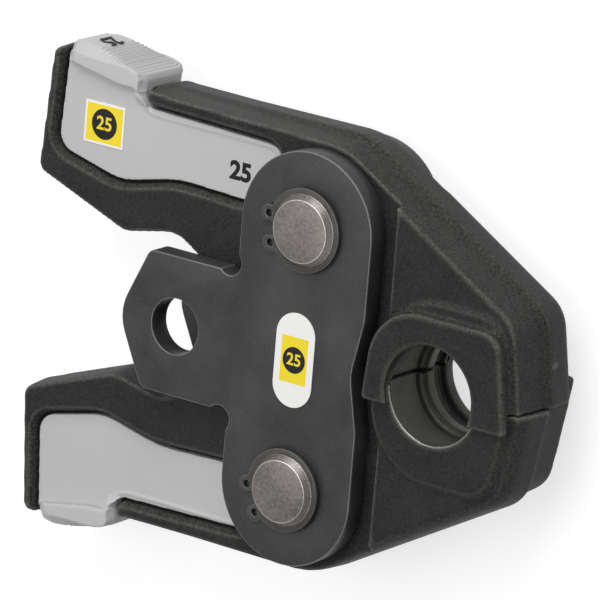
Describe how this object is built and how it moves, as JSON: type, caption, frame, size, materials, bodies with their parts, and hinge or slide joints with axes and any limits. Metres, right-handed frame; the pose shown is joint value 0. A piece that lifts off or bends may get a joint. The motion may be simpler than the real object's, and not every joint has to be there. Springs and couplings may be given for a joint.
{
  "type": "press fitting tool jaw",
  "caption": "Hinged press jaw for pipe fittings: two forged levers on pivot pins between T-shaped side plates, with a tool pin bore and grip clips.",
  "frame": {"origin": "centre of the tool pin bore, half way through the thickness of the jaw", "axes": "+X along the jaw from the tool pin bore to the nose, +Y to the upper jaw, +Z along the tool pin bore to the labelled side"},
  "size_m": [0.1513, 0.1228, 0.0356],
  "materials": {
    "forged_steel": "forged steel with a matt black phosphate coat",
    "plate_steel": "milled steel plate with a satin black oxide finish",
    "pin_steel": "turned and ground bare steel",
    "ring_steel": "phosphated spring steel",
    "spring_steel": "oiled spring wire",
    "grip_plastic": "light grey moulded plastic",
    "label_white": "printed film sticker with a white ground",
    "label_yellow": "printed film sticker with a yellow ground"
  },
  "bodies": {
    "plates": {"front_side_plate": "plate_steel", "back_side_plate": "plate_steel", "upper_pivot_pin": "pin_steel", "lower_pivot_pin": "pin_steel", "upper_front_ring": "ring_steel", "lower_front_ring": "ring_steel", "upper_back_ring": "ring_steel", "lower_back_ring": "ring_steel", "closing_spring": "spring_steel", "plate_label": "label_white"},
    "upper_lever": {"upper_jaw": "forged_steel", "upper_grip_clip": "grip_plastic", "grip_label": "label_yellow"},
    "lower_lever": {"lower_jaw": "forged_steel", "lower_grip_clip": "grip_plastic"}
  },
  "joints": [
    {"name": "upper_jaw_hinge", "type": "hinge", "parent": "plates", "child": "upper_lever", "pos_m": [0.0365, 0.0326, 0], "axis": [0, 0, 1], "range_deg": [0, 15], "deforming": ["closing_spring"]},
    {"name": "lower_jaw_hinge", "type": "hinge", "parent": "plates", "child": "lower_lever", "pos_m": [0.0365, -0.0326, 0], "axis": [0, 0, -1], "range_deg": [0, 15], "deforming": ["closing_spring"]}
  ]
}
